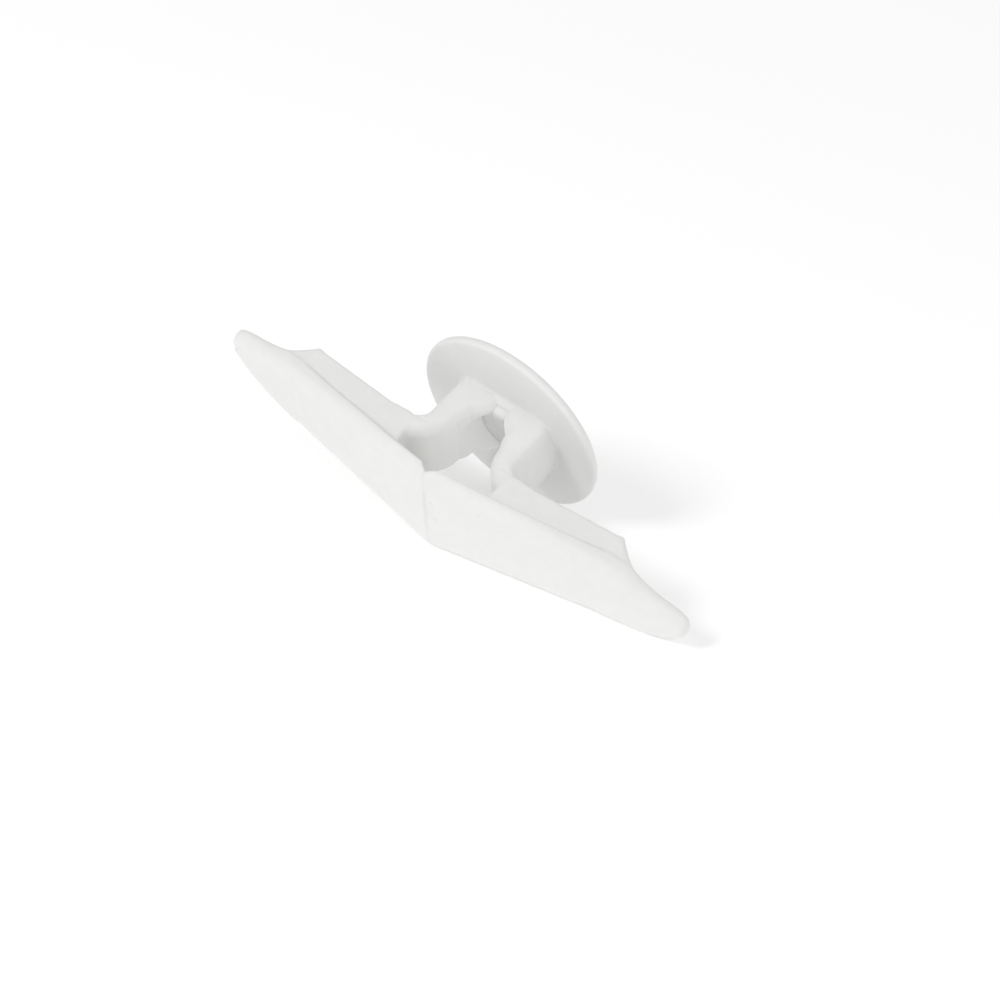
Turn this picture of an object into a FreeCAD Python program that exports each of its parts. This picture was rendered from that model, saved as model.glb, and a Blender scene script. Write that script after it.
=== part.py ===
import FreeCAD, Part
import math
import os
import Sketcher

# A one-piece moulded toggle anchor for hollow walls, in millimetres.
#
# The origin is the centre of the flange's room-side face and +Z runs along the screw axis
# into the wall cavity.  The wings reach out along +X and -X and fold up towards +Z.
# Every part on the -X side is its +X twin turned half a turn about Z.

# name: (value, meaning); lengths in mm, angles in degrees
SIZES = {
    "flange_radius": (8.0, "outer radius of the wall flange"),
    "flange_thickness": (0.8, "thickness of the flange"),
    "flange_edge_round": (0.25, "rounding of the flange's rim"),
    "screw_radius": (1.8, "radius of the screw hole through the collar"),
    "channel_radius": (2.0, "radius of the channel between the legs, clear of the screw"),
    "shank_radius": (4.7, "outer radius of the collar and legs, inside the drilled hole"),
    "leg_half_width": (2.9, "half width of legs, knees and ribs, along Y"),
    "collar_top": (1.4, "top of the collar that carries the leg roots"),
    "root_inner_x": (0.35, "distance of a root's inner face from the axis, at the collar"),
    "leg_start": (2.2, "height where a leg turns rigid"),
    "leg_start_inner_x": (0.8, "distance of a leg's inner face from the axis, at its start"),
    "leg_foot_x": (1.95, "the same distance, above the sloping foot"),
    "leg_foot_z": (3.4, "height of the top of that foot"),
    "leg_bend_x": (2.08, "distance of the inner face's bend from the axis"),
    "leg_bend_z": (4.7, "height of that bend"),
    "leg_end_inner_x": (2.75, "distance of the inner end of the rigid leg from the axis"),
    "leg_end_inner_z": (6.2, "height of the inner end of the rigid leg"),
    "leg_end_outer_z": (4.8, "height of the outer end of the rigid leg"),
    "knee_fillet_x": (5.15, "distance of the fillet's middle, under the knee, from the axis"),
    "knee_fillet_z": (5.55, "height of that fillet's middle"),
    "knee_round_top": (5.3, "height up to which the knee keeps the shank's round outer face"),
    "notch_x": (4.25, "distance of the notch between leg and wing from the axis"),
    "notch_z": (7.5, "height of that notch"),
    "crease_height": (10.5, "height of the crease where the wings meet"),
    "crease_slit": (0.02, "each wing's clearance from the crease plane"),
    "crease_web": (0.45, "thickness of the living hinge at the crease"),
    "crease_relief": (0.8, "length of the relief under the crease"),
    "wing_sweep": (7.9, "angle by which each open wing leans back towards the flange"),
    "crease_half_width": (4.35, "half width of a wing at the crease; it narrows to the ribs'"),
    "wing_length": (21.4, "crease to tip, along the wing"),
    "plate_thickness": (1.0, "thickness of a wing plate at the strap"),
    "plate_end_thickness": (1.5, "thickness of a wing plate at the nose"),
    "strap_length": (3.9, "crease to the rigid plate, along the wing"),
    "rib_depth": (3.78, "outer face of the wing to the start of the rib's bearing face"),
    "rib_end_depth": (3.27, "the same depth at the rib's outer end"),
    "rib_foot": (4.1, "crease to the rib's foot on the plate, along the wing"),
    "rib_heel": (4.7, "crease to the rib's heel above the notch, along the wing"),
    "rib_heel_depth": (2.1, "depth of that heel"),
    "rib_bearing_start": (6.9, "crease to the start of the bearing face, along the wing"),
    "rib_length": (14.75, "crease to the rib's outer end, along the wing"),
    "nose_corner_length": (0.3, "length of the eased corner between rib and ramp"),
    "nose_corner_drop": (0.2, "drop of that corner"),
    "ramp_end": (17.3, "crease to the end of the nose's ramp, along the wing"),
    "ramp_radius": (4.0, "radius of the nose's hollow ramp"),
    "tip_thickness": (1.0, "thickness of the nose at its tip"),
    "tip_half_width": (0.8, "half width of the nose at its tip"),
    "nose_side_radius": (9.5, "radius of the nose's curved sides, in plan"),
    "knee_x": (4.3, "distance of the leg-wing pivot from the screw axis"),
    "knee_z": (7.3, "height of the leg-wing pivot"),
    "root_x": (2.8, "distance of the leg-collar pivot from the screw axis"),
    "cut_clearance": (1.0, "how far a cut's outline reaches beyond what it cuts"),
}

PROBLEM_STATES = ("Invalid", "Error")
SIDES = (("right", 0.0), ("left", 180.0))


def make_sheet(doc):
    sheet = doc.addObject("Spreadsheet::Sheet", "Sizes")
    for row, (name, (value, meaning)) in enumerate(SIZES.items(), start=1):
        sheet.set(f"A{row}", meaning)
        sheet.set(f"B{row}", str(value))
        sheet.setAlias(f"B{row}", name)
    doc.recompute()
    return sheet


def wing_point(along, depth):
    """Formulas for X and Z of a point on the open +X wing.

    along runs from the crease to the tip on the outer face, depth runs from that face
    towards the flange.
    """
    x_formula = f"({along})*cos(Sizes.wing_sweep) - ({depth})*sin(Sizes.wing_sweep)"
    drop = f"({along})*sin(Sizes.wing_sweep) + ({depth})*cos(Sizes.wing_sweep)"
    z_formula = f"Sizes.crease_height - ({drop})"
    return x_formula, z_formula


def crease_point(depth):
    """Formulas for a point on the wing's own side of the crease plane, at a depth."""
    along = f"({depth})*tan(Sizes.wing_sweep) + Sizes.crease_slit/cos(Sizes.wing_sweep)"
    return wing_point(along, depth)


def origin_plane(body, role):
    return next(item for item in body.Origin.OriginFeatures if item.Role == role)


def new_body(doc, name, turn):
    body = doc.addObject("PartDesign::Body", name)
    body.Label = name
    axis = FreeCAD.Vector(0, 0, 1)
    body.Placement = FreeCAD.Placement(FreeCAD.Vector(), FreeCAD.Rotation(axis, turn))
    return body


def new_sketch(body, role, name):
    sketch = body.newObject("Sketcher::SketchObject", name)
    sketch.AttachmentSupport = [(origin_plane(body, role), "")]
    sketch.MapMode = "FlatFace"
    body.Document.recompute()
    return sketch


def formula_value(sketch, formula):
    value = sketch.evalExpression(formula)
    return float(getattr(value, "Value", value))


def arc_edge(start, end, bend):
    """An arc from start to end; a positive bend turns left along the way, a negative one right."""
    radius = abs(bend)
    chord = end - start
    offset = math.sqrt(radius**2 - (chord.Length / 2) ** 2)
    left_normal = FreeCAD.Vector(-chord.y, chord.x, 0).normalize()
    centre = (start + end) / 2 + left_normal * math.copysign(offset, bend)
    first, last = (start, end) if bend > 0 else (end, start)
    angles = [math.atan2(point.y - centre.y, point.x - centre.x) for point in (first, last)]
    circle = Part.Circle(centre, FreeCAD.Vector(0, 0, 1), radius)
    return Part.ArcOfCircle(circle, *angles)


def bind(sketch, kind, *args, formula, name):
    index = sketch.addConstraint(Sketcher.Constraint(kind, *args))
    sketch.renameConstraint(index, name)
    sketch.setExpression(f"Constraints.{name}", formula)


def draw_outline(sketch, corners):
    """Draw a closed outline.

    Each corner is (x formula, y formula) or, where an arc leads to the next corner,
    (x formula, y formula, radius formula, +1 for a left turn or -1 for a right turn).
    """
    places = [
        FreeCAD.Vector(formula_value(sketch, corner[0]), formula_value(sketch, corner[1]), 0)
        for corner in corners
    ]
    ends = []
    for index, corner in enumerate(corners):
        start = places[index]
        end = places[(index + 1) % len(corners)]
        if len(corner) == 2:
            sketch.addGeometry(Part.LineSegment(start, end), False)
            ends.append((1, 2))
        else:
            bend = corner[3] * formula_value(sketch, corner[2])
            sketch.addGeometry(arc_edge(start, end, bend), False)
            ends.append((1, 2) if bend > 0 else (2, 1))
    for index, corner in enumerate(corners):
        following = (index + 1) % len(corners)
        sketch.addConstraint(
            Sketcher.Constraint("Coincident", index, ends[index][1], following, ends[following][0])
        )
        place = places[index]
        at_start = (-1, 1, index, ends[index][0])
        bind(sketch, "DistanceX", *at_start, place.x, formula=corner[0], name=f"x{index}")
        bind(sketch, "DistanceY", *at_start, place.y, formula=corner[1], name=f"y{index}")
        if len(corner) > 2:
            radius = formula_value(sketch, corner[2])
            bind(sketch, "Radius", index, radius, formula=corner[2], name=f"radius{index}")


def draw_circle(sketch, radius_formula):
    radius = formula_value(sketch, radius_formula)
    circle = Part.Circle(FreeCAD.Vector(0, 0, 0), FreeCAD.Vector(0, 0, 1), radius)
    index = sketch.addGeometry(circle, False)
    sketch.addConstraint(Sketcher.Constraint("Coincident", index, 3, -1, 1))
    bind(sketch, "Radius", index, radius, formula=radius_formula, name="radius")


def pad_profile(body, corners, half_width):
    """Pad an outline in the XZ plane equally to both sides."""
    sketch = new_sketch(body, "XZ_Plane", f"{body.Label}_profile")
    draw_outline(sketch, corners)
    pad = body.newObject("PartDesign::Pad", f"{body.Label}_pad")
    pad.Profile = sketch
    pad.SideType = "Symmetric"
    pad.setExpression("Length", f"2*{half_width}")
    body.Document.recompute()
    return pad


def pocket_through(body, sketch, name):
    """Cut a sketch through the whole body, both ways, and make sure that it cut something."""
    before = body.Shape.Volume
    pocket = body.newObject("PartDesign::Pocket", f"{body.Label}_{name}")
    pocket.Profile = sketch
    pocket.SideType = "Symmetric"
    pocket.Type = "ThroughAll"
    body.Document.recompute()
    if not 0 < body.Shape.Volume < before:
        raise RuntimeError(f"{body.Label}: {name} removed nothing")
    return pocket


def cut_round_hole(body, radius_formula):
    sketch = new_sketch(body, "XY_Plane", f"{body.Label}_hole")
    draw_circle(sketch, radius_formula)
    pocket_through(body, sketch, "round_hole")


def cut_outer_round(body, top=None):
    """Trim the outer face to the shank's cylinder, all the way up or only to the height top."""
    sketch = new_sketch(body, "XY_Plane", f"{body.Label}_shank")
    half_width = "Sizes.leg_half_width + Sizes.cut_clearance"
    chord_x = f"sqrt(Sizes.shank_radius^2 - ({half_width})^2)"
    outside_x = "Sizes.shank_radius + Sizes.cut_clearance"
    draw_outline(
        sketch,
        [
            (chord_x, f"-({half_width})"),
            (outside_x, f"-({half_width})"),
            (outside_x, half_width),
            (chord_x, half_width, "Sizes.shank_radius", -1),
        ],
    )
    pocket = pocket_through(body, sketch, "outer_round")
    if top:
        pocket.SideType = "One side"
        pocket.Type = "Length"
        pocket.Reversed = True
        pocket.setExpression("Length", top)
        body.Document.recompute()


def round_circles(body, radius_formula):
    """Round every circular edge of the last feature."""
    tip = body.Tip
    edges = enumerate(tip.Shape.Edges, start=1)
    picked = [f"Edge{index}" for index, edge in edges if isinstance(edge.Curve, Part.Circle)]
    fillet = body.newObject("PartDesign::Fillet", f"{body.Label}_round")
    fillet.Base = (tip, picked)
    fillet.setExpression("Radius", radius_formula)
    body.Document.recompute()
    return fillet


def draw_collar_outline(body):
    """The collar's outline: the shank's circle cut off flat beyond the legs' sides."""
    sketch = new_sketch(body, "XY_Plane", f"{body.Label}_collar_outline")
    half_width = "Sizes.leg_half_width"
    chord_x = f"sqrt(Sizes.shank_radius^2 - {half_width}^2)"
    draw_outline(
        sketch,
        [
            (f"-{chord_x}", f"-{half_width}"),
            (chord_x, f"-{half_width}", "Sizes.shank_radius", 1),
            (chord_x, half_width),
            (f"-{chord_x}", half_width, "Sizes.shank_radius", 1),
        ],
    )
    return sketch


def make_flange(doc):
    """The thin round flange, open in the middle for the collar."""
    body = new_body(doc, "flange", 0.0)
    sketch = new_sketch(body, "XY_Plane", "flange_disc")
    draw_circle(sketch, "Sizes.flange_radius")
    pad = body.newObject("PartDesign::Pad", "flange_pad")
    pad.Profile = sketch
    pad.setExpression("Length", "Sizes.flange_thickness")
    doc.recompute()
    round_circles(body, "Sizes.flange_edge_round")
    pocket_through(body, draw_collar_outline(body), "collar_opening")
    return body


def make_collar(doc):
    """The hub in the middle of the flange that carries both leg roots round the screw hole."""
    body = new_body(doc, "leg_collar", 0.0)
    pad = body.newObject("PartDesign::Pad", "leg_collar_pad")
    pad.Profile = draw_collar_outline(body)
    pad.setExpression("Length", "Sizes.collar_top")
    doc.recompute()
    cut_round_hole(body, "Sizes.screw_radius")
    return body


# Corners, as X and Z, that neighbouring bodies share in the right wing's side view.
LEG_START_INNER = ("Sizes.leg_start_inner_x", "Sizes.leg_start")
LEG_END_INNER = ("Sizes.leg_end_inner_x", "Sizes.leg_end_inner_z")
LEG_END_OUTER = ("Sizes.shank_radius", "Sizes.leg_end_outer_z")
RIB_HEEL = wing_point("Sizes.rib_heel", "Sizes.rib_heel_depth")
RIB_BEARING_START = wing_point("Sizes.rib_bearing_start", "Sizes.rib_depth")


def make_leg_root(doc, side, turn):
    """The flexing root between the collar and a leg."""
    body = new_body(doc, f"leg_root_{side}", turn)
    corners = [
        ("Sizes.root_inner_x", "Sizes.collar_top"),
        ("Sizes.shank_radius", "Sizes.collar_top"),
        ("Sizes.shank_radius", "Sizes.leg_start"),
        LEG_START_INNER,
    ]
    pad_profile(body, corners, "Sizes.leg_half_width")
    cut_outer_round(body)
    cut_round_hole(body, "Sizes.channel_radius")
    return body


def make_leg(doc, side, turn):
    """The rigid leg, which widens inwards at its foot."""
    body = new_body(doc, f"leg_{side}", turn)
    corners = [
        LEG_START_INNER,
        ("Sizes.shank_radius", "Sizes.leg_start"),
        LEG_END_OUTER,
        LEG_END_INNER,
        ("Sizes.leg_bend_x", "Sizes.leg_bend_z"),
        ("Sizes.leg_foot_x", "Sizes.leg_foot_z"),
    ]
    pad_profile(body, corners, "Sizes.leg_half_width")
    cut_outer_round(body)
    cut_round_hole(body, "Sizes.channel_radius")
    return body


def make_knee(doc, side, turn):
    """The flexing bend between a leg and its wing."""
    body = new_body(doc, f"knee_{side}", turn)
    corners = [
        LEG_END_INNER,
        LEG_END_OUTER,
        ("Sizes.knee_fillet_x", "Sizes.knee_fillet_z"),
        RIB_BEARING_START,
        RIB_HEEL,
        ("Sizes.notch_x", "Sizes.notch_z"),
    ]
    pad_profile(body, corners, "Sizes.leg_half_width")
    cut_outer_round(body, "Sizes.knee_round_top")
    return body


def make_strap(doc, side, turn):
    """The flexible strap between the crease and the rigid plate."""
    body = new_body(doc, f"hinge_strap_{side}", turn)
    corners = [
        crease_point("Sizes.crease_web"),
        wing_point("Sizes.crease_relief", "Sizes.plate_thickness"),
        wing_point("Sizes.strap_length", "Sizes.plate_thickness"),
        wing_point("Sizes.strap_length", "0"),
        crease_point("0"),
    ]
    pad_profile(body, corners, "Sizes.crease_half_width")
    cut_wing_plan(body)
    return body


def make_plate(doc, side, turn):
    """The rigid plate, which grows thicker and narrower outwards."""
    body = new_body(doc, f"wing_plate_{side}", turn)
    corners = [
        wing_point("Sizes.strap_length", "Sizes.plate_thickness"),
        wing_point("Sizes.rib_length", "Sizes.plate_end_thickness"),
        wing_point("Sizes.rib_length", "0"),
        wing_point("Sizes.strap_length", "0"),
    ]
    pad_profile(body, corners, "Sizes.crease_half_width")
    cut_wing_plan(body)
    return body


def make_rib(doc, side, turn):
    """The deep rib under the plate, whose flange-side face bears on the wall."""
    body = new_body(doc, f"wing_rib_{side}", turn)
    share = "(Sizes.rib_foot - Sizes.strap_length)/(Sizes.rib_length - Sizes.strap_length)"
    growth = f"(Sizes.plate_end_thickness - Sizes.plate_thickness)*{share}"
    corners = [
        RIB_HEEL,
        RIB_BEARING_START,
        wing_point("Sizes.rib_length", "Sizes.rib_end_depth"),
        wing_point("Sizes.rib_length", "Sizes.plate_end_thickness"),
        wing_point("Sizes.rib_foot", f"Sizes.plate_thickness + {growth}"),
    ]
    pad_profile(body, corners, "Sizes.leg_half_width")
    return body


def make_nose(doc, side, turn):
    """The tapered nose, with a hollow ramp on the flange side, that leads the folded wing in."""
    body = new_body(doc, f"wing_nose_{side}", turn)
    corner_length = "Sizes.rib_length + Sizes.nose_corner_length"
    corner_depth = "Sizes.rib_end_depth - Sizes.nose_corner_drop"
    corners = [
        wing_point("Sizes.rib_length", "Sizes.rib_end_depth"),
        (*wing_point(corner_length, corner_depth), "Sizes.ramp_radius", -1),
        wing_point("Sizes.ramp_end", "Sizes.tip_thickness"),
        wing_point("Sizes.wing_length", "Sizes.tip_thickness"),
        wing_point("Sizes.wing_length", "0"),
        wing_point("Sizes.rib_length", "0"),
    ]
    pad_profile(body, corners, "Sizes.leg_half_width")
    start_x = wing_point("Sizes.rib_length", "Sizes.rib_end_depth")[0]
    tip_x = wing_point("Sizes.wing_length", "0")[0]
    for sign, name in ((1, "near"), (-1, "far")):
        start = (start_x, f"{sign}*Sizes.leg_half_width", "Sizes.nose_side_radius", -sign)
        tip = (tip_x, f"{sign}*Sizes.tip_half_width")
        cut_beside(body, name, sign, start, tip)
    return body


def cut_wing_plan(body):
    """Narrow the wing from the crease to the ribs' width, on both sides."""
    end_x = wing_point("Sizes.rib_length", "0")[0]
    for sign, name in ((1, "near"), (-1, "far")):
        start = ("0", f"{sign}*Sizes.crease_half_width")
        end = (end_x, f"{sign}*Sizes.leg_half_width")
        cut_beside(body, name, sign, start, end)


def cut_beside(body, name, sign, start, end):
    """Cut away what lies outside the line, or arc, from start to end in plan."""
    clear_x = f"{end[0]} + Sizes.cut_clearance"
    clear_y = f"{sign}*(Sizes.crease_half_width + Sizes.cut_clearance)"
    sketch = new_sketch(body, "XY_Plane", f"{body.Label}_{name}_plan")
    draw_outline(
        sketch,
        [start, end, (clear_x, end[1]), (clear_x, clear_y), (start[0], clear_y)],
    )
    pocket_through(body, sketch, f"{name}_side")


def check_document(doc, bodies):
    for item in doc.Objects:
        if any(state in PROBLEM_STATES for state in item.State):
            raise RuntimeError(f"{item.Label} did not build: {item.State}")
    for body in bodies:
        if body.Shape.isNull() or not body.Shape.isValid() or len(body.Shape.Solids) != 1:
            raise RuntimeError(f"{body.Label} is not one valid solid")


def main():
    doc = FreeCAD.newDocument("toggle_anchor")
    make_sheet(doc)
    bodies = [make_flange(doc), make_collar(doc)]
    paired = (
        make_leg_root,
        make_leg,
        make_knee,
        make_strap,
        make_plate,
        make_rib,
        make_nose,
    )
    for side, turn in SIDES:
        for make_part in paired:
            bodies.append(make_part(doc, side, turn))
    doc.recompute()
    check_document(doc, bodies)
    os.makedirs("parts", exist_ok=True)
    for body in bodies:
        body.Shape.exportStep(os.path.join("parts", f"{body.Label}.step"))
        print(f"{body.Label}: {body.Shape.Volume:.2f} mm3")
    for pivot, x_name, z_name in (("root", "root_x", "collar_top"), ("knee", "knee_x", "knee_z")):
        print(f"{pivot} pivots: x +-{SIZES[x_name][0]}, z {SIZES[z_name][0]}, axis along Y")


main()
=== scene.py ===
import math

import bpy
import numpy as np
from mathutils import Matrix, Vector


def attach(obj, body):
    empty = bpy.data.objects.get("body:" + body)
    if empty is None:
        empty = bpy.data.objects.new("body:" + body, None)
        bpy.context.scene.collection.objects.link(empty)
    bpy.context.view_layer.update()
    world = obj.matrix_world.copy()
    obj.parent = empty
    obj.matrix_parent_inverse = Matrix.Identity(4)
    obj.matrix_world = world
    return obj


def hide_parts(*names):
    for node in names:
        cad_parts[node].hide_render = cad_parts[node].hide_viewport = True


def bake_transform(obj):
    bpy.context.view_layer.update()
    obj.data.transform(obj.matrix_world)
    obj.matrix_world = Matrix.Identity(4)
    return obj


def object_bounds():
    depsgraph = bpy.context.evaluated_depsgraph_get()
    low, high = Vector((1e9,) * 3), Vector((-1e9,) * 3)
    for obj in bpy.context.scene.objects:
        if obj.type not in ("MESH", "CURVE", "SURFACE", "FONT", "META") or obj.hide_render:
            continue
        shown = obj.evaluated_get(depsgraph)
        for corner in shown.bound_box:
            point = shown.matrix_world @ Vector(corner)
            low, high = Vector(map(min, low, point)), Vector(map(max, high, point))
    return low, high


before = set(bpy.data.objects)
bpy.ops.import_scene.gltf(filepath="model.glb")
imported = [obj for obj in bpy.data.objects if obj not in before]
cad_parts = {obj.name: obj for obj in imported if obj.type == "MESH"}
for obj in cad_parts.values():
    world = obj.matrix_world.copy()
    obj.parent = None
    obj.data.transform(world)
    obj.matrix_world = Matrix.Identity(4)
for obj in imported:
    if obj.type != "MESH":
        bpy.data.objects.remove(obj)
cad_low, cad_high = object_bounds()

# A moulded toggle wall anchor, lying on its side on a white table.
#
# Every skin is built as a distance field in millimetres: negative inside, positive outside.
# Its zero surface becomes the mesh.  The frame is the CAD model's: the flange's face is at
# z = 0, the screw runs along z and the wings reach out along x.

MM = 0.001
CELL = 0.1      # spacing of the grid that the fields are worked out on
SIDES = (("right", 1), ("left", -1))

# Sizes in millimetres.  They are the CAD model's, except that the flange's radius is 0.1 less,
# as the photo's outline shows.
FLANGE_RADIUS = 7.9
FLANGE_THICKNESS = 0.8
SCREW_RADIUS = 1.8
CHANNEL_RADIUS = 2.0
SHANK_RADIUS = 4.7
LEG_HALF_WIDTH = 2.9
COLLAR_TOP = 1.4
CREASE_HEIGHT = 10.5
CREASE_WEB = 0.45
CREASE_HALF_WIDTH = 4.35
SWEEP = math.radians(7.9)
WING_LENGTH = 21.4
PLATE_THICKNESS = 1.0
PLATE_END_THICKNESS = 1.5
RIB_LENGTH = 14.75
RIB_DEPTH = 3.78
RIB_END_DEPTH = 3.27
RIB_BEARING_START = 6.9
TIP_THICKNESS = 1.0
NOTCH = (4.25, 7.5)

# Sizes that only the visual model has.
FLARE_START = 4.6           # height where the legs begin to flare out under the ribs
FLARE_RADIUS = 1.15
CHANNEL_TOP = 5.2
LEG_FOOT = 0.6              # height of the legs' feet, inside the collar
COLLAR_INSET = 0.07         # how far the collar stands back from the legs' faces
WEB_MIDDLE = (-0.1, -2.0)   # the small web between the legs' feet
WEB_HALF_SIZE = (0.65, 0.5)
WEB_TOP = 1.95
CREASE_OVERLAP = 0.1        # how far each skin reaches past the crease plane
CROWN = 0.06                # how far a wing's outer face falls away at its edges
NOSE_BEND = -0.5            # sideways bend of the noses
NOSE_BEND_START = 14.0
NOSE_BEND_LENGTH = 7.0
NEAR_TRIM = {1: 0.5, -1: 0.75}      # taken off each wing's near edge, beside the nose
NEAR_TRIM_START = 14.8
NEAR_TRIM_LENGTH = 6.9

# Radii of rounded edges.
RIM_ROUND = 0.30
RIM_ROOM_ROUND = 0.40
LEG_ROUND = 0.28
LEG_INNER_ROUND = 0.8
WING_FAR_ROUND = 0.5
WING_NEAR_ROUND = 0.85
SOFT = 0.3                  # any other edge or joint between a side's members

# Half width of a wing, outwards from the crease: (along the wing, half width).  At the crease
# it is 0.2 more than the CAD model's, as the photo's outline shows.
WING_PLAN = (
    (-1.0, 4.56), (0.0, 4.56), (7.0, 3.82), (14.0, 3.1), (16.0, 2.94), (17.5, 2.72),
    (18.6, 2.40), (19.5, 2.0), (20.2, 1.6), (20.8, 1.14), (21.2, 0.73), (21.5, 0.2),
)

# Depth of the nose's flange-side surface: a hollow ramp from the rib's end to the tip.
RAMP = (
    (12.0, RIB_END_DEPTH), (RIB_LENGTH, RIB_END_DEPTH), (15.0, 3.1), (15.4, 2.6),
    (15.9, 2.05), (16.4, 1.62), (17.0, 1.28), (17.6, 1.12), (18.5, 1.05), (22.5, 1.0),
)

# Small moulding pits in the left wing's outer face, near the crease: x, y, z and radius, as
# on the right side before it is turned round.
PITS = (
    (0.65, 1.35, 10.48, 0.16), (0.80, 1.15, 10.46, 0.17), (0.97, 0.93, 10.44, 0.15),
    (0.87, -0.54, 10.43, 0.17), (4.66, 2.51, 9.90, 0.18),
)

# The hollow between the legs, where painted light (a paler base colour standing in for light in
# the recess) starts and stops fading, in |x|, |y|, z.
PAINTED_LIGHT_SPAN = ((2.8, 4.2), (2.2, 2.75), (9.3, 9.8))

# Colours.
PLASTIC_DARKER = (0.822, 0.827, 0.808, 1)
PLASTIC_LIGHTER = (0.842, 0.845, 0.834, 1)
# painted light: the near-white colour given to the hollow between the legs, standing in for light
# reaching it
PLASTIC_PAINTED_LIGHT = (0.985, 0.985, 0.975, 1)
TABLE_WHITE = (0.95, 0.95, 0.95, 1)
WHITE = (1, 1, 1, 1)
TABLE_GLOW = 0.205
WORLD_STRENGTH = 0.585

# Table, light and camera, in metres.
TABLE_NORMAL = (0.1406, -0.9396, -0.3121)
TABLE_DISTANCE = 0.00752
TABLE_HALF_SIZE = 0.6
VIEW_RIGHT = (-0.7798, 0.0422, -0.6247)
VIEW_TOWARD = (-0.3890, -0.8145, 0.4305)
CAMERA_PLACE = (0.250, -0.001089, -0.00608)     # towards the viewer, right and up
CAMERA_SENSOR = 36
CAMERA_LENS = 122.23
CAMERA_CLIP = (0.01, 5)
LIGHT_DISTANCE = 0.4
# name, direction (towards the viewer, right and up), size and power
LIGHTS = (
    ("key", (0.68, -0.61, 0.40), 0.13, 0.43),
    ("fill", (0.86, 0.48, 0.15), 0.50, 0.36),
)


# ---- distance fields -------------------------------------------------------------------

def both(first, second, radius):
    """Where two fields overlap, with the edge between them rounded."""
    reach = np.hypot(np.maximum(first + radius, 0), np.maximum(second + radius, 0))
    return np.minimum(np.maximum(first, second), -radius) + reach


def either(first, second, radius):
    """Two fields joined, with the corner between them filled."""
    return -both(-first, -second, radius)


def without(first, second, radius):
    """The first field with the second cut out of it."""
    return both(first, -second, radius)


def polygon(corners, x, z):
    """Signed distance to a closed outline in the xz plane."""
    nearest = np.full(np.broadcast(x, z).shape, np.inf)
    inside = np.zeros(nearest.shape, bool)
    for (x0, z0), (x1, z1) in zip(corners, corners[1:] + corners[:1]):
        dx, dz = x1 - x0, z1 - z0
        along = np.clip(((x - x0) * dx + (z - z0) * dz) / (dx * dx + dz * dz), 0, 1)
        gap = (x - x0 - along * dx) ** 2 + (z - z0 - along * dz) ** 2
        nearest = np.minimum(nearest, gap)
        if dz:
            crossing = x0 + (z - z0) * dx / dz
            inside ^= ((z0 > z) != (z1 > z)) & (x < crossing)
    return np.where(inside, -1, 1) * np.sqrt(nearest)


def extruded(corners, x, z):
    """Distance to an outline in the xz plane that runs on along y."""
    return polygon(corners, x[:, 0, :], z[:, 0, :])[:, None, :]


def arc(start, end, radius, steps):
    """Points after start up to end, on an arc that turns left (radius > 0) or right."""
    (x0, z0), (x1, z1) = start, end
    dx, dz = x1 - x0, z1 - z0
    chord = math.hypot(dx, dz)
    offset = math.copysign(math.sqrt(radius**2 - chord**2 / 4), radius)
    cx, cz = (x0 + x1) / 2 - dz / chord * offset, (z0 + z1) / 2 + dx / chord * offset
    turn = 2 * math.asin(chord / 2 / radius)
    first = math.atan2(z0 - cz, x0 - cx)
    angles = [first + turn * (i + 1) / steps for i in range(steps)]
    return [(cx + abs(radius) * math.cos(a), cz + abs(radius) * math.sin(a)) for a in angles]


def smooth_curve(points, where):
    """A rounded line through points of rising abscissa."""
    fine = np.linspace(points[0][0], points[-1][0], 400)
    values = np.interp(fine, [p[0] for p in points], [p[1] for p in points])
    kernel = np.hanning(19)
    padded = np.pad(values, len(kernel) // 2, mode="edge")
    values = np.convolve(padded, kernel / kernel.sum(), mode="valid")
    return np.interp(where, fine, values)


def smooth_step(share):
    return share**2 * (3 - 2 * share)


# ---- from field to mesh ------------------------------------------------------------------

def grid_axes(low, high):
    counts = [int(math.ceil((high[i] - low[i]) / CELL)) + 1 for i in range(3)]
    x, y, z = [low[i] + CELL * np.arange(counts[i]) for i in range(3)]
    return x[:, None, None], y[None, :, None], z[None, None, :]


def crossings(field, axis):
    """The grid edges along an axis that the surface crosses: where each starts, where it is
    crossed, and whether it starts inside."""
    low, high = [slice(None)] * 3, [slice(None)] * 3
    low[axis], high[axis] = slice(None, -1), slice(1, None)
    first, second = field[tuple(low)], field[tuple(high)]
    edges = np.argwhere((first < 0) != (second < 0))
    # an edge on the grid's outside has no cells all round it
    edges = edges[np.all([(edges[:, a] > 0) & (edges[:, a] < field.shape[a] - 1)
                          for a in range(3) if a != axis], axis=0)]
    key = tuple(edges.T)
    points = edges.astype(float)
    points[:, axis] += first[key] / (first[key] - second[key])
    return edges, points, first[key] < 0


def surface_mesh(name, field, axes):
    """A closed quad mesh on a field's zero surface: one vertex in each cell that it passes."""
    shape = tuple(n - 1 for n in field.shape)
    cell_index = np.arange(np.prod(shape)).reshape(shape)
    total = np.zeros(shape + (3,))
    count = np.zeros(shape)
    quads = []
    for axis in range(3):
        edges, points, from_inside = crossings(field, axis)
        u, v = [a for a in range(3) if a != axis]
        around = []
        for du, dv in ((0, 0), (1, 0), (1, 1), (0, 1)):
            cells = edges.copy()
            cells[:, u] -= du
            cells[:, v] -= dv
            key = tuple(cells.T)
            np.add.at(total, key, points)
            np.add.at(count, key, 1)
            around.append(cell_index[key])
        around = np.stack(around, axis=1)
        backwards = from_inside == (axis == 1)
        around[backwards] = around[backwards][:, ::-1]
        quads.append(around)
    used, quads = np.unique(np.concatenate(quads), return_inverse=True)
    spots = total.reshape(-1, 3)[used] / count.reshape(-1)[used][:, None]
    spots = settle(spots, field)
    origin = np.array([a.flat[0] for a in axes])
    points = np.clip((origin + spots * CELL) * MM, cad_low, cad_high)
    return quad_mesh(name, points, quads.reshape(-1, 4))


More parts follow.
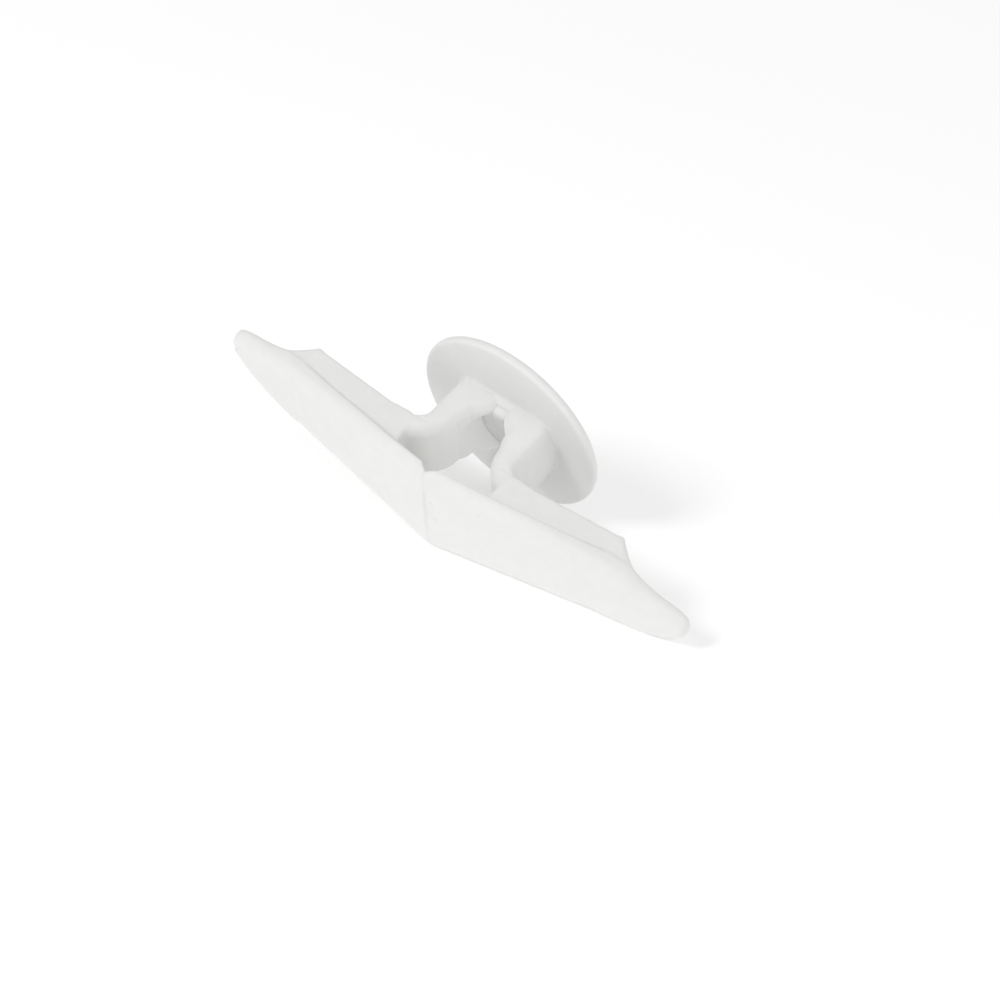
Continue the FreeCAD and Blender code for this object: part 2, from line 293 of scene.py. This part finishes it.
def quad_mesh(name, points, quads):
    mesh = bpy.data.meshes.new(name)
    mesh.vertices.add(len(points))
    mesh.vertices.foreach_set("co", points.astype(np.float32).ravel())
    mesh.loops.add(quads.size)
    mesh.loops.foreach_set("vertex_index", quads.astype(np.int32).ravel())
    mesh.polygons.add(len(quads))
    mesh.polygons.foreach_set("loop_start", np.arange(0, quads.size, 4, dtype=np.int32))
    mesh.polygons.foreach_set("use_smooth", np.ones(len(quads), bool))
    mesh.update(calc_edges=True)
    mesh.validate()
    return mesh


def sample(field, spots):
    """The field's value between grid points."""
    base = np.clip(np.floor(spots).astype(int), 0, np.array(field.shape) - 2)
    part = spots - base
    value = 0
    for corner in np.ndindex(2, 2, 2):
        weight = np.prod([part[:, a] if corner[a] else 1 - part[:, a] for a in range(3)], axis=0)
        value = value + weight * field[tuple((base + corner).T)]
    return value


def settle(spots, field):
    """Move the points onto the zero surface along its slope."""
    for _ in range(2):
        here = sample(field, spots)
        slope = np.stack([(sample(field, spots + step) - sample(field, spots - step))
                          for step in np.eye(3) * 0.5], axis=1)
        size = np.maximum((slope**2).sum(axis=1), 1e-6)
        spots = spots - np.clip(here / size, -0.6, 0.6)[:, None] * slope
    return spots


def new_object(mesh, material):
    obj = bpy.data.objects.new(mesh.name, mesh)
    bpy.context.scene.collection.objects.link(obj)
    mesh.materials.append(material)
    return obj


# ---- the flange and its collar -----------------------------------------------------------

def base_field(x, y, z):
    across = np.hypot(x, y)
    disc = both(across - FLANGE_RADIUS, z - FLANGE_THICKNESS, RIM_ROUND)
    disc = both(disc, -z, RIM_ROOM_ROUND)
    column = both(across - SHANK_RADIUS + COLLAR_INSET,
                  np.abs(y) - LEG_HALF_WIDTH + COLLAR_INSET, 0.3)
    collar = both(column, z - COLLAR_TOP + 0.05, 0.05)
    collar = both(collar, -z, 0.05)
    solid = either(disc, collar, 0.35)
    web = both(np.abs(x - WEB_MIDDLE[0]) - WEB_HALF_SIZE[0],
               np.abs(y - WEB_MIDDLE[1]) - WEB_HALF_SIZE[1], 0.35)
    web = both(web, z - WEB_TOP, 0.35)
    solid = either(solid, both(web, 0.5 - z, 0.1), 0.15)
    return without(solid, across - SCREW_RADIUS, 0.12)


def make_base(material):
    margin = 0.35
    low = (-FLANGE_RADIUS - margin, -FLANGE_RADIUS - margin, -margin)
    high = (FLANGE_RADIUS + margin, FLANGE_RADIUS + margin, WEB_TOP + margin)
    axes = grid_axes(low, high)
    field = base_field(*axes)
    obj = new_object(surface_mesh("anchor_flange", field, axes), material)
    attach(obj, "base")
    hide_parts("flange", "leg_collar")


# ---- a leg and its wing ------------------------------------------------------------------
#
# x and y are those of the right side.  The left one is made there too, then turned round.

def wing_point(along, depth):
    """x and z of a point on the wing, from the crease outwards and from its outer face in."""
    cos, sin = math.cos(SWEEP), math.sin(SWEEP)
    return along * cos - depth * sin, CREASE_HEIGHT - along * sin - depth * cos


def leg_inner_line():
    """The leg's inner face seen from the side, from the collar up into the knee's notch."""
    line = [(0.35, -0.5), (0.35, 1.45), (0.8, 2.15), (1.6, 2.95)]
    line += arc((1.6, 2.95), (2.0, 4.1), -2.2, 5)
    line += [(2.1, 4.8)] + arc((2.1, 4.8), (2.95, 6.4), -4.0, 6)
    return line + [(3.8, 7.1), NOTCH]


def leg_profile():
    """Outline of leg and knee, seen from the side; the shank's round trims it outside."""
    return leg_inner_line() + [wing_point(4.6, 1.8), (7.0, 6.9), (6.6, 5.8), (6.6, -0.5)]


def rib_profile():
    """Outline of the rib that bears on the wall."""
    corners = [NOTCH, wing_point(4.4, 1.6), wing_point(3.9, 0.5)]
    corners += [wing_point(RIB_LENGTH, 0.5), wing_point(RIB_LENGTH, RIB_END_DEPTH)]
    corners += [wing_point(RIB_BEARING_START, RIB_DEPTH), (5.1, 5.72), (4.3, 6.2)]
    return corners


def shank_radius(z):
    """The legs' outer radius: a cylinder that flares out under the rib."""
    rise = np.clip((z - FLARE_START) / FLARE_RADIUS, 0, 1)
    flare = FLARE_RADIUS * (1 - np.sqrt(np.clip(1 - rise**2, 0, 1)))
    return SHANK_RADIUS + flare + 20 * np.clip(z - FLARE_START - FLARE_RADIUS, 0, None)


def leg_field(x, y, z):
    """The leg, its knee and the wing's rib."""
    beside = np.abs(y) - LEG_HALF_WIDTH
    leg = both(extruded(leg_profile(), x, z), beside, LEG_ROUND)
    behind_inner_face = leg_inner_line() + [(9.0, 9.0), (30.0, 9.0), (30.0, -9.0), (0.35, -9.0)]
    behind_inner_face = extruded(behind_inner_face, x, z)
    leg = np.maximum(leg, both(behind_inner_face, beside, LEG_INNER_ROUND))
    radius = shank_radius(z)
    lean = 1 / np.hypot(1, np.gradient(radius, CELL, axis=2))
    leg = both(leg, (np.hypot(x, y) - radius) * lean, SOFT)
    channel = both(np.hypot(x, y) - CHANNEL_RADIUS, z - CHANNEL_TOP, SOFT)
    leg = without(leg, channel, 0.25)
    rib = both(extruded(rib_profile(), x, z), beside, LEG_ROUND)
    return either(leg, rib, 0.25)


def wing_half_width(x):
    """The wing's half width at x, and what turns a difference in it into a distance."""
    flat = x[:, 0, 0]
    width = smooth_curve(WING_PLAN, flat / math.cos(SWEEP))
    slope = np.gradient(width, flat)
    return width[:, None, None], (1 / np.hypot(1, slope))[:, None, None]


def wing_edges(x, y, sign):
    """The wing's sides in plan, with the nose bent and the near edge trimmed."""
    half_width, slant = wing_half_width(x)
    bend = NOSE_BEND * smooth_step(np.clip((x - NOSE_BEND_START) / NOSE_BEND_LENGTH, 0, 1))
    trim = NEAR_TRIM[sign] * (sign * y < 0)
    share = np.clip((x - NEAR_TRIM_START) / NEAR_TRIM_LENGTH, 0, 1)
    trim = trim * np.sin(math.pi * share) ** 2
    return (np.abs(y - bend) + trim - half_width) * slant


def wing_fields(x, y, z, sign):
    """The wing's plate and its nose."""
    cos, sin = math.cos(SWEEP), math.sin(SWEEP)
    along = x * cos + (CREASE_HEIGHT - z) * sin
    depth = -x * sin + (CREASE_HEIGHT - z) * cos
    outer = CROWN * (y / CREASE_HALF_WIDTH) ** 2 - depth
    edge_round = np.where(sign * y < 0, WING_NEAR_ROUND, WING_FAR_ROUND)
    skin_top = both(wing_edges(x, y, sign), outer, edge_round)
    past_tip = along - WING_LENGTH

    thickness = np.interp(along, (0.0, 0.9, 4.0, RIB_LENGTH, WING_LENGTH),
                          (CREASE_WEB, 0.95, PLATE_THICKNESS, PLATE_END_THICKNESS, TIP_THICKNESS))
    plate = both(skin_top, depth - thickness, 0.2)
    plate = both(plate, past_tip, SOFT)

    under = (depth - smooth_curve(RAMP, along)) * 0.8
    nose = both(both(under, np.abs(y) - LEG_HALF_WIDTH, 0.5), skin_top, SOFT)
    nose = both(nose, RIB_LENGTH - 0.5 - along, SOFT)
    nose = both(nose, past_tip, SOFT)
    return plate, nose


def side_field(x, y, z, sign):
    plate, nose = wing_fields(x, y, z, sign)
    solid = either(either(plate, leg_field(x, y, z), SOFT), nose, SOFT)
    if sign < 0:
        for px, py, pz, size in PITS:
            pit = np.sqrt((x - px) ** 2 + (y - py) ** 2 + (z - pz) ** 2) - size
            solid = without(solid, pit, 0.06)
    solid = np.maximum(solid, -CREASE_OVERLAP - x)
    return np.maximum(solid, LEG_FOOT - z)


def mark_painted_light(mesh):
    """Marks the faces inside the hollow between the legs for painted light: a paler colour there
    stands in for light reaching the hollow.
    """
    points = np.empty(len(mesh.vertices) * 3, np.float32)
    mesh.vertices.foreach_get("co", points)
    share = 1
    for distance, (start, end) in zip(np.abs(points.reshape(-1, 3).T) / MM, PAINTED_LIGHT_SPAN):
        share = share * smooth_step(np.clip((end - distance) / (end - start), 0, 1))
    # painted light: how much of the paler colour each point gets, inside the hollow between the
    # legs
    painted_light = mesh.attributes.new("painted_hollow_light", "FLOAT", "POINT")
    painted_light.data.foreach_set("value", share.astype(np.float32))


def make_side(side, sign, material):
    low = (-0.3, -CREASE_HALF_WIDTH - 0.5, LEG_FOOT - 0.3)
    high = (21.6, CREASE_HALF_WIDTH + 0.5, CREASE_HEIGHT + 0.3)
    axes = grid_axes(low, high)
    field = side_field(*axes, sign)
    mesh = surface_mesh(f"anchor_wing_{side}", field, axes)
    mark_painted_light(mesh)
    if sign < 0:
        mesh.transform(Matrix.Rotation(math.pi, 4, "Z"))
    obj = new_object(mesh, material)
    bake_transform(obj)
    nodes = ("leg_root", "leg", "knee", "hinge_strap", "wing_plate", "wing_rib", "wing_nose")
    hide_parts(*(f"{node}_{side}" for node in nodes))


# ---- materials ---------------------------------------------------------------------------

def new_material(name):
    material = bpy.data.materials.new(name)
    material.use_nodes = True
    return material, material.node_tree.nodes, material.node_tree.links


def noise(nodes, links, place, scale, detail):
    texture = nodes.new("ShaderNodeTexNoise")
    texture.inputs["Scale"].default_value = scale
    texture.inputs["Detail"].default_value = detail
    links.new(place.outputs["Object"], texture.inputs["Vector"])
    return texture


def plastic():
    """Natural, slightly translucent plastic with a satin moulded face."""
    material, nodes, links = new_material("moulded_plastic")
    shader = nodes["Principled BSDF"]
    shader.inputs["Roughness"].default_value = 0.55
    shader.inputs["Specular IOR Level"].default_value = 0.3
    shader.inputs["IOR"].default_value = 1.45
    shader.inputs["Subsurface Weight"].default_value = 0.12
    shader.inputs["Subsurface Radius"].default_value = (1.0, 1.0, 0.93)
    shader.inputs["Subsurface Scale"].default_value = 0.0013
    place = nodes.new("ShaderNodeTexCoord")

    # faint mottling, and painted light inside the hollow: a paler colour standing in for light
    # there
    tone = noise(nodes, links, place, 900, 3)
    ramp = nodes.new("ShaderNodeValToRGB")
    ramp.color_ramp.elements[0].position = 0.3
    ramp.color_ramp.elements[0].color = PLASTIC_DARKER
    ramp.color_ramp.elements[1].position = 0.7
    ramp.color_ramp.elements[1].color = PLASTIC_LIGHTER
    links.new(tone.outputs["Fac"], ramp.inputs["Fac"])
    painted_hollow_light = nodes.new("ShaderNodeAttribute")
    painted_hollow_light.attribute_name = "painted_hollow_light"
    blend = nodes.new("ShaderNodeMix")
    blend.data_type = "RGBA"
    blend.inputs[7].default_value = PLASTIC_PAINTED_LIGHT
    links.new(painted_hollow_light.outputs["Fac"], blend.inputs[0])
    links.new(ramp.outputs["Color"], blend.inputs[6])
    links.new(blend.outputs[2], shader.inputs["Base Color"])

    # fine grain
    grain = noise(nodes, links, place, 2600, 4)
    bump = nodes.new("ShaderNodeBump")
    bump.inputs["Strength"].default_value = 0.12
    bump.inputs["Distance"].default_value = 0.00006
    links.new(grain.outputs["Fac"], bump.inputs["Height"])
    links.new(bump.outputs["Normal"], shader.inputs["Normal"])
    return material


def table_material():
    """Matt white paper with a slight glow, clear from behind so that it hides nothing."""
    material, nodes, links = new_material("white_table")
    nodes.remove(nodes["Principled BSDF"])
    diffuse = nodes.new("ShaderNodeBsdfDiffuse")
    diffuse.inputs["Color"].default_value = TABLE_WHITE
    clear = nodes.new("ShaderNodeBsdfTransparent")
    geometry = nodes.new("ShaderNodeNewGeometry")
    glow = nodes.new("ShaderNodeEmission")
    glow.inputs["Color"].default_value = WHITE
    glow.inputs["Strength"].default_value = TABLE_GLOW
    lit = nodes.new("ShaderNodeAddShader")
    links.new(diffuse.outputs["BSDF"], lit.inputs[0])
    links.new(glow.outputs["Emission"], lit.inputs[1])
    mix = nodes.new("ShaderNodeMixShader")
    links.new(geometry.outputs["Backfacing"], mix.inputs["Fac"])
    links.new(lit.outputs["Shader"], mix.inputs[1])
    links.new(clear.outputs["BSDF"], mix.inputs[2])
    links.new(mix.outputs["Shader"], nodes["Material Output"].inputs["Surface"])
    return material


# ---- table, light and camera -------------------------------------------------------------

def view_axes():
    """The camera's axes: right, up and towards the viewer."""
    toward = Vector(VIEW_TOWARD).normalized()
    right = Vector(VIEW_RIGHT).normalized()
    right = (right - toward * right.dot(toward)).normalized()
    return right, toward.cross(right), toward


def view_vector(parts):
    """A vector given by its parts towards the viewer, right and up."""
    right, up, toward = view_axes()
    return toward * parts[0] + right * parts[1] + up * parts[2]


def make_table():
    """The anchor lies on the flange's rim and the far edge of the left wing, which reach 0.15 mm
    and 0.1 mm past the table's face."""
    normal = Vector(TABLE_NORMAL).normalized()
    axis = normal.to_track_quat("Z", "Y").to_matrix().to_4x4()
    mesh = bpy.data.meshes.new("table")
    half = TABLE_HALF_SIZE
    corners = [(-half, -half, 0), (half, -half, 0), (half, half, 0), (-half, half, 0)]
    mesh.from_pydata(corners, [], [(0, 1, 2, 3)])
    obj = new_object(mesh, table_material())
    obj.matrix_world = Matrix.Translation(normal * -TABLE_DISTANCE) @ axis


def make_light(name, direction, size, power):
    light = bpy.data.lights.new(name, "AREA")
    light.shape = "DISK"
    light.size = size
    light.energy = power
    obj = bpy.data.objects.new(name, light)
    bpy.context.scene.collection.objects.link(obj)
    toward = view_vector(direction).normalized()
    obj.location = toward * LIGHT_DISTANCE
    obj.rotation_mode = "QUATERNION"
    obj.rotation_quaternion = toward.to_track_quat("Z", "Y")


def make_camera():
    camera = bpy.data.cameras.new("camera")
    camera.sensor_width = CAMERA_SENSOR
    camera.lens = CAMERA_LENS
    camera.clip_start, camera.clip_end = CAMERA_CLIP
    obj = bpy.data.objects.new("camera", camera)
    bpy.context.scene.collection.objects.link(obj)
    turn = Matrix(view_axes()).transposed().to_4x4()
    obj.matrix_world = Matrix.Translation(view_vector(CAMERA_PLACE)) @ turn
    bpy.context.scene.camera = obj


def make_world():
    world = bpy.data.worlds.new("studio")
    world.use_nodes = True
    background = world.node_tree.nodes["Background"]
    background.inputs["Color"].default_value = WHITE
    background.inputs["Strength"].default_value = WORLD_STRENGTH
    bpy.context.scene.world = world
    bpy.context.scene.view_settings.view_transform = "Standard"


# ---- the whole scene ---------------------------------------------------------------------

skin = plastic()
make_base(skin)
for side_name, side_sign in SIDES:
    make_side(side_name, side_sign, skin)
make_table()
make_world()
for light in LIGHTS:
    make_light(*light)
make_camera()
